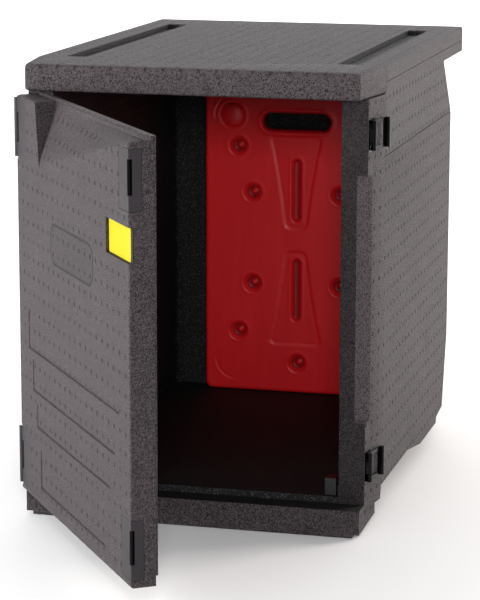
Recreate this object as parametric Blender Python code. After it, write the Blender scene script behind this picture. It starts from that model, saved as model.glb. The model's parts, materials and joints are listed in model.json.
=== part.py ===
"""Insulated front-loading food carrier in expanded polypropylene, with its door standing open
and a thermal plate inside. Metres, +Z up, the front faces -Y, the floor is Z = 0."""

import math

import bmesh
import bpy
from mathutils import Matrix, Vector

# Overall sizes of the carrier.
WIDTH = 0.540
DEPTH = 0.770
HEIGHT = 0.690
CLEARANCE = 0.0003  # gap between pieces that touch
PARTING = 0.0008  # open joint between the cover and the body
RUNNING = 0.00015  # radial clearance of a pin in its knuckle

# Body shell.
WALL = 0.050
FRAME_SETBACK = 0.0362  # door frame behind the sill's front
FRAME_INSET = 0.0103  # body side inside the full width at the frame
TAPER_LENGTH = 0.112  # from the front to where the sides reach full width
SILL_TOP = 0.0417
FLOOR_TOP = 0.052
CAVITY_CORNER = 0.012
REAR_LIP = 0.030  # the top's overhang behind the rear wall
REAR_WALL = 0.050
CORNER_CUT = (0.040, 0.074)  # rear vertical corner chamfer, across and along
GRIP_FACET = (0.074, 0.091)  # how far the chamfer widens under the overhang, along and down
TOE_FACET = (0.035, 0.123)  # how far it widens at the foot, along and up
UNDERCUT_INSET = 0.045  # the hand recess under each side, measured inwards
GROOVE_BELOW_TOP = 0.133  # decorative side groove
GROOVE = (0.0024, 0.0015)  # its height and depth
FINGER_BEVEL = (0.0163, 0.017, 0.167, 0.537)  # finger bevel: width, depth, low and high

# Top cover.
COVER_PLATE = 0.023
BAR_DROP = 0.040  # height of the front bar
NOSE_INSET = 0.0164  # cover's front corners inside the full width
BAR_REAR_RADIUS = 0.010
NOSE_RADIUS = 0.011
EDGE_RADIUS = 0.004
CHEEK_LINE = (0.0010, 0.0016)  # line behind the bar's ends: width and depth
CHANNEL_INSET = 0.043
CHANNEL_WIDTH = 0.033
CHANNEL_DEPTH = 0.008
CHANNEL_FRONT = 0.118
CHANNEL_REAR = 0.098

# Door, in its own closed position.
DOOR_SIDE_GAP = 0.005  # door inside the full width on each side
DOOR_THICKNESS = 0.035
DOOR_LIP = 0.005
DOOR_BOTTOM_GAP = 0.0006
DOOR_TOP_GAP = 0.0055
LIP_INSET = 0.006
LIP_RISE = 0.0125  # lip's lower edge above the slab's
LIP_HEAD = 0.0035  # lip's upper edge above the slab's
DOOR_EDGE = 0.003
SCOOP_START = (0.0995, 0.116)  # its hinge end, at the top and at its foot
SCOOP_DEPTH = 0.032
SCOOP_HEIGHT = 0.090
SCOOP_FAR_DROP = 0.002
SCOOP_BACK_DROP = 0.0050  # back of the scoop below the slab's top, so that the lip shows behind it
REST_ANGLE = math.radians(54.57)  # how far the door stands open

# Grooves moulded into the door: corner across, corner up, length across, length up.
DOOR_GROOVES = (
    (0.053, 0.273, 0.430, 0.053),
    (0.0725, 0.212, 0.392, 0.043),
    (0.092, 0.159, 0.350, 0.033),
    (0.1075, 0.0696, 0.3105, 0.053),
)
DOOR_GROOVE_WIDTH = 0.0045
DOOR_GROOVE_DEPTH = 0.0025
BADGE = (0.2735, 0.4515, 0.200, 0.057)  # blank badge outline: centre across and up, width, height
BADGE_GROOVE = 0.004

# Card pocket at the door's free edge.
CARD_WIDTH = 0.092
CARD_HEIGHT = 0.0455
CARD_THICKNESS = 0.0007
CARD_CENTRE = 0.506
POCKET_DEPTH = 0.0068
TRAY_THICKNESS = 0.0012
CARD_SET_IN = 0.0043
CARD_EDGE_GAP = 0.005

# Hinges.
HINGE_HEIGHTS = {"lower": 0.096, "upper": 0.597}
HINGE_HEIGHT = 0.088
HINGE_AXIS_IN = 0.0015  # axis behind the door's front face, at the door's edge
KNUCKLE_RADIUS = 0.0045
KNUCKLE_MIDDLE = 0.044
HINGE_PIN_RADIUS = 0.002
PIN_HEAD_RADIUS = 0.0036
PIN_HEAD = 0.0012
INSERT_THICKNESS = 0.0025
HINGE_INSERT_WIDTH = 0.050
HINGE_INSERT_SIDE = 0.022
HINGE_POCKET_RADIUS = 0.012
ARM_THICKNESS = 0.0034
LEAF_LENGTH = 0.084

# Latches.
LATCH_HEIGHTS = {"lower": 0.098, "upper": 0.596}
LATCH_ANGLES = {"lower": math.radians(170), "upper": math.radians(167)}
LATCH_PIVOT = 0.046  # behind the sill's front
LATCH_RADIUS = 0.004
LATCH_PIN_RADIUS = 0.0017
LATCH_HALF = 0.022
LUG_HALF = 0.0094
BAIL_ARM = 0.0029
BAIL_RAIL = 0.0055
BAIL_BAR_RADIUS = 0.0024
LATCH_PLATE = (0.038, 0.060, 0.0245, 0.003)  # front, rear, half height, thickness
STRIKE_WIDTH = 0.040
STRIKE_SIDE = 0.0185
STRIKE_HALF = 0.0415
STRIKE_DROP = 0.004  # strike plate's middle below the latch's
SLOT_HALF = 0.024
SLOT_SIZE = 0.0055

# Thermal plate.
PLATE_SIZE = (0.325, 0.030, 0.530)
PLATE_OFFSET = 0.0047
PLATE_BACK_GAP = 0.003
PLATE_CORNER = 0.012
PLATE_SKIN = 0.003
HANDLE = (0.118, 0.029, 0.477)  # slot width, height, centre above the plate's foot
DIMPLES = ((0.1025, 0.4327), (0.077, 0.353), (0.077, 0.192), (0.102, 0.107))
LOW_DIMPLE = 0.053
DIMPLE_RADIUS = 0.011
DIMPLE_DEPTH = 0.006
COLUMN_RADIUS = 0.016
WAISTS = ((0.450, 0.089, 0.292, 0.0355), (0.088, 0.090, 0.250, 0.034))
WAIST_DEPTH = 0.003
WAIST_SLOT = (0.017, 0.111, 0.005)  # groove width, length and extra depth
CAP_PLACE = (-0.1134, 0.486)
CAP_RADIUS = 0.020
CAP_THICKNESS = 0.004
CAP_KNOB = (0.020, 0.006, 0.002)  # its length, width and corner radius
CAP_KNOB_RISE = 0.004
NECK_RADIUS = 0.009
NECK_GAP = 0.0003

# Stop block in the opening's lower corner, beside the latches.
BUMPER = (0.018, 0.022, 0.027)  # width, length and height
BUMPER_SHIM = 0.0035  # the strip between the block and the wall
BUMPER_SET_BACK = 0.003  # behind the door frame

DOOR_WIDTH = WIDTH - 2 * DOOR_SIDE_GAP
FRONT = -DEPTH / 2
BACK = DEPTH / 2
FRAME = FRONT + FRAME_SETBACK
REAR = BACK - REAR_LIP
SIDE = WIDTH / 2
CAVITY_SIDE = SIDE - WALL
CAVITY_BACK = REAR - REAR_WALL
COVER_UNDER = HEIGHT - COVER_PLATE
BAR_UNDER = HEIGHT - BAR_DROP
CEILING = HEIGHT - WALL
TAPER_END = FRONT + TAPER_LENGTH
DOOR_BACK = FRAME - CLEARANCE
DOOR_FRONT = DOOR_BACK - DOOR_LIP - DOOR_THICKNESS
DOOR_LEFT = -DOOR_WIDTH / 2 + 0.00122
DOOR_RIGHT = DOOR_LEFT + DOOR_WIDTH
DOOR_LOW = SILL_TOP + DOOR_BOTTOM_GAP
DOOR_HIGH = BAR_UNDER - DOOR_TOP_GAP
HINGE_AXIS = Vector((DOOR_LEFT, DOOR_FRONT + HINGE_AXIS_IN, 0))

COLORS = {
    "foam": ((0.045, 0.042, 0.043, 1), 0.75, 0.0),
    "grey_plastic": ((0.16, 0.16, 0.165, 1), 0.45, 0.0),
    "black_plastic": ((0.006, 0.006, 0.007, 1), 0.22, 0.0),
    "steel": ((0.55, 0.55, 0.56, 1), 0.3, 1.0),
    "red_plastic": ((0.33, 0.008, 0.010, 1), 0.35, 0.0),
    "gel": ((0.25, 0.05, 0.05, 1), 0.5, 0.0),
    "yellow_card": ((0.9, 0.78, 0.02, 1), 0.4, 0.0),
    "rubber": ((0.01, 0.01, 0.01, 1), 0.6, 0.0),
}


def clear_scene():
    for item in list(bpy.data.objects):
        bpy.data.objects.remove(item, do_unlink=True)


def make_materials():
    made = {}
    for name, (color, roughness, metallic) in COLORS.items():
        material = bpy.data.materials.new(name)
        material.use_nodes = True
        shader = material.node_tree.nodes["Principled BSDF"]
        shader.inputs["Base Color"].default_value = color
        shader.inputs["Roughness"].default_value = roughness
        shader.inputs["Metallic"].default_value = metallic
        material.diffuse_color = color
        made[name] = material
    return made


def add(name, mesh_builder, material=None, parent=None):
    """An object from a filled bmesh; with no material it is a hidden cutter."""
    mesh = bpy.data.meshes.new(name)
    bmesh.ops.recalc_face_normals(mesh_builder, faces=mesh_builder.faces)
    mesh_builder.to_mesh(mesh)
    mesh_builder.free()
    item = bpy.data.objects.new(name, mesh)
    bpy.context.scene.collection.objects.link(item)
    if material is None:
        item.hide_render = True
        item.display_type = "WIRE"
    else:
        mesh.materials.append(MATERIALS[material])
    if parent is not None:
        item.parent = parent
        item.matrix_parent_inverse = Matrix.Translation(-parent.location)
    return item


def loft(name, sections, material=None, parent=None):
    """A closed solid through rings of points that all have the same count."""
    builder = bmesh.new()
    rings = [[builder.verts.new(point) for point in section] for section in sections]
    count = len(rings[0])
    for low, high in zip(rings, rings[1:]):
        for i in range(count):
            j = (i + 1) % count
            builder.faces.new((low[i], low[j], high[j], high[i]))
    builder.faces.new(rings[0])
    builder.faces.new(rings[-1])
    return add(name, builder, material, parent)


def prism(name, outline, axis, low, high, material=None, parent=None):
    """An outline in the two axes other than axis, in X, Y, Z order, carried from low to high."""
    def ring(level):
        return [tuple(list(point[:axis]) + [level] + list(point[axis:])) for point in outline]
    return loft(name, [ring(low), ring(high)], material, parent)


def box(name, low, high, material=None, parent=None):
    outline = [(low[0], low[1]), (high[0], low[1]), (high[0], high[1]), (low[0], high[1])]
    return prism(name, outline, 2, low[2], high[2], material, parent)


def hull(name, points, material=None, parent=None):
    builder = bmesh.new()
    corners = [builder.verts.new(point) for point in points]
    result = bmesh.ops.convex_hull(builder, input=corners)
    loose = [item for item in result["geom_interior"] if isinstance(item, bmesh.types.BMVert)]
    bmesh.ops.delete(builder, geom=loose, context="VERTS")
    return add(name, builder, material, parent)


def arc(centre, radius, start, end, steps):
    """Points of an arc, its angles in degrees."""
    angles = [math.radians(start + (end - start) * i / steps) for i in range(steps + 1)]
    return [(centre[0] + radius * math.cos(a), centre[1] + radius * math.sin(a)) for a in angles]


def circle(centre, radius, sides):
    return arc(centre, radius, 0, 360 - 360 / sides, sides - 1)


def rounded(centre, width, height, radius, steps=4):
    """A rectangle's outline with round corners."""
    points = []
    for turn, (across, up) in enumerate(((1, 1), (-1, 1), (-1, -1), (1, -1))):
        corner = (centre[0] + across * (width / 2 - radius), centre[1] + up * (height / 2 - radius))
        points += arc(corner, radius, turn * 90, turn * 90 + 90, steps)
    return points


def rod(name, centre, radius, low, high, sides=24, material=None, parent=None):
    """An upright cylinder."""
    return prism(name, circle(centre, radius, sides), 2, low, high, material, parent)


def boolean(item, other, operation):
    modifier = item.modifiers.new(other.name, "BOOLEAN")
    modifier.operation = operation
    modifier.object = other
    modifier.solver = "EXACT"


def cut(item, *cutters):
    for cutter in cutters:
        boolean(item, cutter, "DIFFERENCE")


def join(item, *others):
    for other in others:
        boolean(item, other, "UNION")


def axis_empty(name, place, angle):
    empty = bpy.data.objects.new(name, None)
    bpy.context.scene.collection.objects.link(empty)
    empty.location = place
    empty.rotation_euler = (0, 0, angle)
    return empty


def mirrored(points):
    return [(-x, y) for x, y in reversed(points)]


def body_side(y):
    """How far out the body's side is at a depth, on the +X side."""
    if y >= TAPER_END:
        return SIDE
    rise = FRAME_INSET / (TAPER_END - FRAME)
    return SIDE - min(FRAME_INSET, (TAPER_END - y) * rise)


def bar_profile(gap):
    """The space under the cover, with the gap taken off it: y and z of the bar's rear and the plate."""
    turn = (TAPER_END - BAR_REAR_RADIUS, BAR_UNDER + BAR_REAR_RADIUS)
    corner = arc(turn, BAR_REAR_RADIUS + gap, -90, 0, 5)
    return [(FRONT - 0.05, BAR_UNDER - gap)] + corner + [(TAPER_END + gap, COVER_UNDER - gap)]


def make_body():
    front_side = SIDE - FRAME_INSET
    right = [(front_side, FRONT), (front_side, FRAME), (SIDE, TAPER_END), (SIDE, BACK)]
    body = prism("body_shell", right + mirrored(right), 2, 0, HEIGHT, "foam")
    over = bar_profile(PARTING)
    over.append((BACK + 0.05, COVER_UNDER - PARTING))
    over += [(BACK + 0.05, HEIGHT + 0.05), (FRONT - 0.05, HEIGHT + 0.05)]
    cut(body, prism("cut_cover_seat", over, 0, -SIDE - 0.05, SIDE + 0.05))
    cut(body, box("cut_frame", (-SIDE - 0.05, FRONT - 0.05, SILL_TOP), (SIDE + 0.05, FRAME, HEIGHT)))
    mouth = FRAME - 0.05
    cavity = rounded((0, (mouth + CAVITY_BACK) / 2), 2 * CAVITY_SIDE, CAVITY_BACK - mouth, CAVITY_CORNER)
    cut(body, prism("cut_cavity", cavity, 2, FLOOR_TOP, CEILING))
    lintel_low = (-CAVITY_SIDE, FRONT - 0.05, CEILING - 0.01)
    cut(body, box("cut_lintel", lintel_low, (CAVITY_SIDE, TAPER_END, HEIGHT)))
    shape_rear(body)
    shape_base(body)
    groove_z = HEIGHT - GROOVE_BELOW_TOP
    for sign in (-1, 1):
        inner, outer = sorted((sign * (SIDE - GROOVE[1]), sign * (SIDE + 0.02)))
        low, high = groove_z - GROOVE[0] / 2, groove_z + GROOVE[0] / 2
        cut(body, box(f"cut_groove_{sign}", (inner, FRONT + 0.072, low), (outer, REAR, high)))
    width, depth, low, high = FINGER_BEVEL
    inner, far = front_side - width, SIDE + 0.02
    bevel = [
        (inner, FRAME - 0.02), (inner, FRAME),
        (far, FRAME + depth * (far - inner) / width), (far, FRAME - 0.02),
    ]
    cut(body, prism("cut_finger_bevel", bevel, 2, low, high))
    return body


def shape_rear(body):
    """The rear wall set in under the top's overhang, its corners cut back, more so high and low."""
    under = BAR_UNDER - 0.0017
    across, along = CORNER_CUT
    cut(body, box("cut_rear", (-SIDE - 0.05, REAR, -0.05), (SIDE + 0.05, BACK + 0.05, under)))
    reach = Vector((-across, along)).normalized() * 0.15
    for sign in (-1, 1):
        start = Vector((SIDE, REAR - along))
        line = [start - reach, start + reach, Vector((SIDE + 0.12, REAR + 0.12))]
        outline = [(sign * p.x, p.y) for p in line]
        cut(body, prism(f"cut_corner_{sign}", outline, 2, -0.05, under))
        high_turn = under - GRIP_FACET[1]
        low_turn = FLOOR_TOP + TOE_FACET[1]
        shifts = ((under, GRIP_FACET[0], high_turn), (FLOOR_TOP, TOE_FACET[0], low_turn))
        for level, shift, turn in shifts:
            moved = [line[0] - Vector((0, shift)), line[1] - Vector((0, shift)), line[2]]
            points = [(sign * p.x, p.y, turn) for p in line]
            points += [(sign * p.x, p.y, level) for p in moved]
            cut(body, hull(f"cut_facet_{sign}_{turn:.3f}", points))


def shape_base(body):
    """The underside: a full-width foot at the front and a hand recess under each side."""
    step = 0.005
    profile = [
        (FRONT + 0.084, -0.02), (FRONT + 0.084, 0.033), (FRONT + 0.108, 0.033),
        (FRONT + 0.112, 0.053), (FRONT + 0.320, 0.054), (FRONT + 0.434, 0.036),
        (REAR - 0.165, 0.036), (REAR - 0.160, 0.046), (REAR - 0.109, FLOOR_TOP),
        (BACK + 0.05, FLOOR_TOP), (BACK + 0.05, -0.02),
    ]
    for sign in (-1, 1):
        inner, outer = sorted((sign * (SIDE - UNDERCUT_INSET), sign * (SIDE + 0.05)))
        cut(body, prism(f"cut_hand_{sign}", profile, 0, inner, outer))
        inner, outer = sorted((sign * (SIDE - FRAME_INSET - 0.0105), sign * (SIDE + 0.05)))
        rise = [
            (FRONT - 0.05, -0.02), (FRONT - 0.05, step), (FRONT + 0.034, step),
            (FRONT + 0.085, 0.0172), (FRONT + 0.085, -0.02),
        ]
        cut(body, prism(f"cut_rebate_{sign}", rise, 0, inner, outer))
    cut(body, box("cut_rear_foot", (-SIDE - 0.05, REAR - 0.030, -0.02), (SIDE + 0.05, BACK, 0.036)))


def cover_section(z, front, side):
    """The cover's plan at one height, with the front edge and the other edges set in."""
    nose = NOSE_INSET * (1 - front / TAPER_LENGTH)
    right = [
        (SIDE - nose - side - 0.004, FRONT + front),
        (SIDE - nose - side, FRONT + front + 0.005),
        (SIDE - side, TAPER_END),
        (SIDE - side, BACK - side),
    ]
    return [(x, y, z) for x, y in right + mirrored(right)]


def make_cover():
    sections = []
    for angle in (0, 30, 60, 90):
        turn = math.radians(angle)
        z = BAR_UNDER + EDGE_RADIUS * (1 - math.cos(turn))
        inset = EDGE_RADIUS * (1 - math.sin(turn))
        sections.append(cover_section(z, inset, inset))
    for angle in (0, 15, 30, 45, 60, 75, 90):
        turn = math.radians(angle)
        z = HEIGHT - NOSE_RADIUS * (1 - math.sin(turn))
        front = NOSE_RADIUS * (1 - math.cos(turn))
        above = max(0.0, z - (HEIGHT - EDGE_RADIUS))
        side = EDGE_RADIUS - math.sqrt(max(0.0, EDGE_RADIUS**2 - above**2))
        sections.append(cover_section(z, front, side))
    cover = loft("top_cover", sections, "foam")
    under = bar_profile(0)[1:] + [(BACK + 0.05, COVER_UNDER), (BACK + 0.05, BAR_UNDER - 0.05)]
    under = under + [(TAPER_END - BAR_REAR_RADIUS, BAR_UNDER - 0.05)]
    cut(cover, prism("cut_under_cover", under, 0, -SIDE - 0.05, SIDE + 0.05))
    for sign in (-1, 1):
        inner, outer = sorted((sign * (SIDE - CHEEK_LINE[1]), sign * (SIDE + 0.02)))
        low = (inner, TAPER_END - CHEEK_LINE[0] / 2, COVER_UNDER - 0.01)
        high = (outer, TAPER_END + CHEEK_LINE[0] / 2, HEIGHT + 0.02)
        cut(cover, box(f"cut_cheek_{sign}", low, high))
    front, rear = FRONT + CHANNEL_FRONT, BACK - CHANNEL_REAR
    middle = (front + rear) / 2
    for sign in (-1, 1):
        centre = sign * (SIDE - CHANNEL_INSET - CHANNEL_WIDTH / 2)
        outline = rounded((centre, middle), CHANNEL_WIDTH, rear - front, 0.004, 3)
        cut(cover, prism(f"cut_channel_{sign}", outline, 2, HEIGHT - CHANNEL_DEPTH, HEIGHT + 0.02))
    return cover


def door_section(y, inset):
    centre = ((DOOR_LEFT + DOOR_RIGHT) / 2, (DOOR_LOW + DOOR_HIGH) / 2)
    outline = rounded(centre, DOOR_WIDTH - 2 * inset, DOOR_HIGH - DOOR_LOW - 2 * inset, 0.003, 3)
    return [(x, y, z) for x, z in outline]


def make_door(axis):
    sections = []
    for angle in (0, 30, 60, 90):
        turn = math.radians(angle)
        y = DOOR_FRONT + DOOR_EDGE * (1 - math.cos(turn))
        sections.append(door_section(y, DOOR_EDGE * (1 - math.sin(turn))))
    sections.append(door_section(DOOR_BACK - DOOR_LIP - 0.001, 0))
    sections.append(door_section(DOOR_BACK - DOOR_LIP, 0.001))
    door = loft("door_panel", sections, "foam", axis)
    low, high = DOOR_LOW + LIP_RISE, DOOR_HIGH + LIP_HEAD
    middle = ((DOOR_LEFT + DOOR_RIGHT) / 2, (low + high) / 2)
    lip = rounded(middle, DOOR_WIDTH - 2 * LIP_INSET, high - low, 0.006, 3)
    lip_back = rounded(middle, DOOR_WIDTH - 2 * LIP_INSET - 0.003, high - low - 0.003, 0.0045, 3)
    start = DOOR_BACK - DOOR_LIP - 0.002
    rings = [[(x, start, z) for x, z in lip], [(x, DOOR_BACK - 0.0015, z) for x, z in lip]]
    join(door, loft("add_lip", rings + [[(x, DOOR_BACK, z) for x, z in lip_back]], None, axis))
    for index, groove in enumerate(DOOR_GROOVES):
        cut(door, groove_cutter(index, groove, axis))
    cut(door, badge_cutter(axis))
    return door


def scoop_cutter(axis):
    """The scoop across the door's top: a ruled surface between a line on the front face, which
    climbs from the scoop's foot to the free corner, and a line along the top near the back."""
    steps = 9
    top_x = DOOR_LEFT + SCOOP_START[0]
    foot = Vector((DOOR_LEFT + SCOOP_START[1], DOOR_FRONT, DOOR_HIGH - SCOOP_HEIGHT))
    deep = Vector((top_x, DOOR_FRONT + SCOOP_DEPTH, DOOR_HIGH - SCOOP_BACK_DROP))
    far_front = Vector((DOOR_RIGHT + 0.002, DOOR_FRONT, DOOR_HIGH - SCOOP_FAR_DROP))
    far_back = Vector((DOOR_RIGHT + 0.002, DOOR_FRONT + SCOOP_DEPTH, DOOR_HIGH - SCOOP_BACK_DROP))
    lean = (foot.x - top_x) / SCOOP_HEIGHT
    sections = []
    for i in range(steps + 1):
        share = i / steps
        front = foot.lerp(far_front, share)
        back = deep.lerp(far_back, share)
        slope = (back - front) * 0.35
        rise = 0.06 + DOOR_HIGH - back.z
        above = Vector((back.x - lean * rise * (1 - share), back.y, back.z + rise))
        outer = Vector((above.x, DOOR_FRONT - 0.03, above.z))
        sections.append([front - slope, back, above, outer])
    return loft("cut_scoop", sections, None, axis)


def groove_cutter(index, groove, axis):
    across, up, width, height = groove
    x, z, half = DOOR_LEFT + across, up, DOOR_GROOVE_WIDTH / 2
    outline = [
        (x - half, z - half), (x + width, z - half), (x + width, z + half),
        (x + half, z + half), (x + half, z + height), (x - half, z + height),
    ]
    return prism(f"cut_door_groove_{index}", outline, 1, DOOR_FRONT - 0.01,
                 DOOR_FRONT + DOOR_GROOVE_DEPTH, None, axis)


def badge_cutter(axis):
    across, up, width, height = BADGE
    centre = (DOOR_LEFT + across, up)
    depth = DOOR_FRONT + DOOR_GROOVE_DEPTH
    ring = prism("cut_badge", rounded(centre, width, height, height * 0.25), 1,
                 DOOR_FRONT - 0.01, depth, None, axis)
    inner = rounded(centre, width - 2 * BADGE_GROOVE, height - 2 * BADGE_GROOVE, height * 0.18)
    cut(ring, prism("cut_badge_middle", inner, 1, DOOR_FRONT - 0.02, depth + 0.01, None, axis))
    return ring


def make_card(door, axis):
    """The label card in its tray, in a pocket that is open at the door's free edge."""
    half = CARD_HEIGHT / 2 + CLEARANCE
    left = DOOR_RIGHT - CARD_EDGE_GAP - CARD_WIDTH - CLEARANCE
    low, high = CARD_CENTRE - half - 0.001, CARD_CENTRE + half + 0.001
    cut(door, box("cut_pocket", (left - 0.001, DOOR_FRONT - 0.02, low),
                  (DOOR_RIGHT + 0.02, DOOR_FRONT + POCKET_DEPTH, high), None, axis))
    tray_back = DOOR_FRONT + POCKET_DEPTH - CLEARANCE
    tray_low = (left - 0.001 + CLEARANCE, tray_back - TRAY_THICKNESS, low + CLEARANCE)
    tray_high = (DOOR_RIGHT - 0.0005, tray_back, high - CLEARANCE)
    box("card_tray", tray_low, tray_high, "grey_plastic", axis)
    right = DOOR_RIGHT - CARD_EDGE_GAP
    outline = rounded((right - CARD_WIDTH / 2, CARD_CENTRE), CARD_WIDTH, CARD_HEIGHT, 0.003)
    front = DOOR_FRONT + CARD_SET_IN
    prism("label_card", outline, 1, front, front + CARD_THICKNESS, "yellow_card", axis)


def corner_insert(name, edge_x, inward, width, side, half, centre_z, axis, grow=0.0):
    """An angle-section insert flush with the door's front and edge; grow makes it the pocket."""
    material = None if grow else "grey_plastic"
    lift = 0.02 if grow else 0.0
    thick = INSERT_THICKNESS + grow
    def x(distance):
        return edge_x + inward * distance
    outline = [
        (x(-lift), DOOR_FRONT - lift), (x(width + grow), DOOR_FRONT - lift),
        (x(width + grow), DOOR_FRONT + thick), (x(thick), DOOR_FRONT + thick),
        (x(thick), DOOR_FRONT + side + grow), (x(-lift), DOOR_FRONT + side + grow),
    ]
    low, high = centre_z - half - grow, centre_z + half + grow
    return prism(name, outline, 2, low, high, material, axis)


def make_strikes(door, axis):
    """A strike plate for each latch: an angle at the free corner, notched for the bail."""
    for place, z in LATCH_HEIGHTS.items():
        args = (DOOR_RIGHT, -1, STRIKE_WIDTH, STRIKE_SIDE, STRIKE_HALF, z - STRIKE_DROP, axis)
        strike = corner_insert(f"strike_plate_{place}", *args)
        pocket = corner_insert(f"cut_strike_{place}", *args, grow=CLEARANCE)
        low = (DOOR_RIGHT - SLOT_SIZE, DOOR_FRONT - 0.02, z - SLOT_HALF)
        high = (DOOR_RIGHT + 0.02, DOOR_FRONT + SLOT_SIZE, z + SLOT_HALF)
        slot = box(f"cut_slot_{place}", low, high, None, axis)
        cut(strike, slot)
        cut(door, pocket, slot)


def make_hinges(door, axis):
    """Two hinges: a door insert with end knuckles, a body leaf with the middle one, and a pin."""
    centre = (HINGE_AXIS.x, HINGE_AXIS.y)
    for place, z in HINGE_HEIGHTS.items():
        args = (DOOR_LEFT, 1, HINGE_INSERT_WIDTH, HINGE_INSERT_SIDE, HINGE_HEIGHT / 2, z, axis)
        insert = corner_insert(f"hinge_insert_{place}", *args)
        pocket = corner_insert(f"cut_hinge_insert_{place}", *args, grow=CLEARANCE)
        end, middle = HINGE_HEIGHT / 2, KNUCKLE_MIDDLE / 2
        knuckle_args = (centre, KNUCKLE_RADIUS, z - end, z + end, 20, None, axis)
        knuckles = rod(f"add_knuckles_{place}", *knuckle_args)
        join(insert, knuckles)
        relief = rod(f"cut_relief_{place}", centre, HINGE_POCKET_RADIUS,
                     z - middle - CLEARANCE, z + middle + CLEARANCE, 24, None, axis)
        seat = rod(f"cut_seat_{place}", centre, KNUCKLE_RADIUS + CLEARANCE,
                   z - end - 0.004, z + end + 0.004, 20, None, axis)
        hole = rod(f"cut_pin_hole_{place}", centre, HINGE_PIN_RADIUS + RUNNING,
                   z - end - 0.01, z + end + 0.01, 16, None, axis)
        cut(insert, relief, hole)
        cut(door, pocket, seat, relief)
        pin = rod(f"hinge_pin_{place}", centre, HINGE_PIN_RADIUS,
                  z - end, z + end + 0.0015, 16, "steel", axis)
        head = rod(f"add_pin_head_{place}", centre, PIN_HEAD_RADIUS,
                   z + end + CLEARANCE, z + end + CLEARANCE + PIN_HEAD, 16, None, axis)
        join(pin, head)
        make_hinge_leaf(place, z, centre, middle)


def make_hinge_leaf(place, z, centre, half):
    """The body's leaf: it lies on the tapered side and its arm reaches forward past the door's edge."""
    arm_in = DOOR_LEFT - 0.0004
    arm_out = arm_in - ARM_THICKNESS
    rear = FRONT + LEAF_LENGTH
    knee = FRAME + 0.0025
    skin = -body_side(rear) - CLEARANCE
    outline = [
        (arm_out, centre[1]), (arm_in, centre[1]), (arm_in, FRAME - CLEARANCE * 2),
        (-body_side(knee) - CLEARANCE, knee), (skin, rear), (skin - 0.002, rear),
        (arm_out, FRONT + 0.060),
    ]
    leaf = prism(f"hinge_leaf_{place}", outline, 2, z - half, z + half, "grey_plastic")
    knuckle = rod(f"add_leaf_knuckle_{place}", centre, KNUCKLE_RADIUS, z - half, z + half, 20)
    join(leaf, knuckle)
    cut(leaf, rod(f"cut_leaf_hole_{place}", centre, HINGE_PIN_RADIUS + RUNNING,
                  z - half - 0.01, z + half + 0.01, 16))


def make_latches(body):
    """A base plate set into the body's side, a bail that swings about an upright pin, and the pin."""
    front, rear, half, thick = LATCH_PLATE
    pivot_y = FRONT + LATCH_PIVOT
    pivot = (body_side(pivot_y) + LATCH_RADIUS + CLEARANCE, pivot_y)
    for place, z in LATCH_HEIGHTS.items():
        y0, y1 = FRONT + front, FRONT + rear
        plan = [
            (body_side(y0) - thick, y0), (body_side(y0), y0),
            (body_side(y1), y1), (body_side(y1) - thick, y1),
        ]
        base = prism(f"latch_base_{place}", plan, 2, z - half, z + half, "black_plastic")
        deep = [
            (body_side(y0) - thick - CLEARANCE, y0 - CLEARANCE), (SIDE + 0.02, y0 - CLEARANCE),
            (SIDE + 0.02, y1 + CLEARANCE), (body_side(y1) - thick - CLEARANCE, y1 + CLEARANCE),
        ]
        recess = half + CLEARANCE
        cut(body, prism(f"cut_latch_base_{place}", deep, 2, z - recess, z + recess))
        foot = [
            (body_side(pivot_y) - thick / 2, pivot_y - LATCH_RADIUS), (pivot[0], pivot_y - LATCH_RADIUS),
            (pivot[0], pivot_y + LATCH_RADIUS), (body_side(pivot_y) - thick / 2, pivot_y + LATCH_RADIUS),
        ]
        lug = prism(f"add_lug_{place}", foot, 2, z - LUG_HALF, z + LUG_HALF)
        eye = rod(f"add_lug_eye_{place}", pivot, LATCH_RADIUS, z - LUG_HALF, z + LUG_HALF, 20)
        hole = rod(f"cut_lug_hole_{place}", pivot, LATCH_PIN_RADIUS + RUNNING, z - 0.03, z + 0.03, 16)
        join(base, lug, eye)
        cut(base, hole)
        rod(f"latch_pin_{place}", pivot, LATCH_PIN_RADIUS, z - LATCH_HALF, z + LATCH_HALF, 16, "steel")
        make_bail(place, z, pivot)


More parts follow.
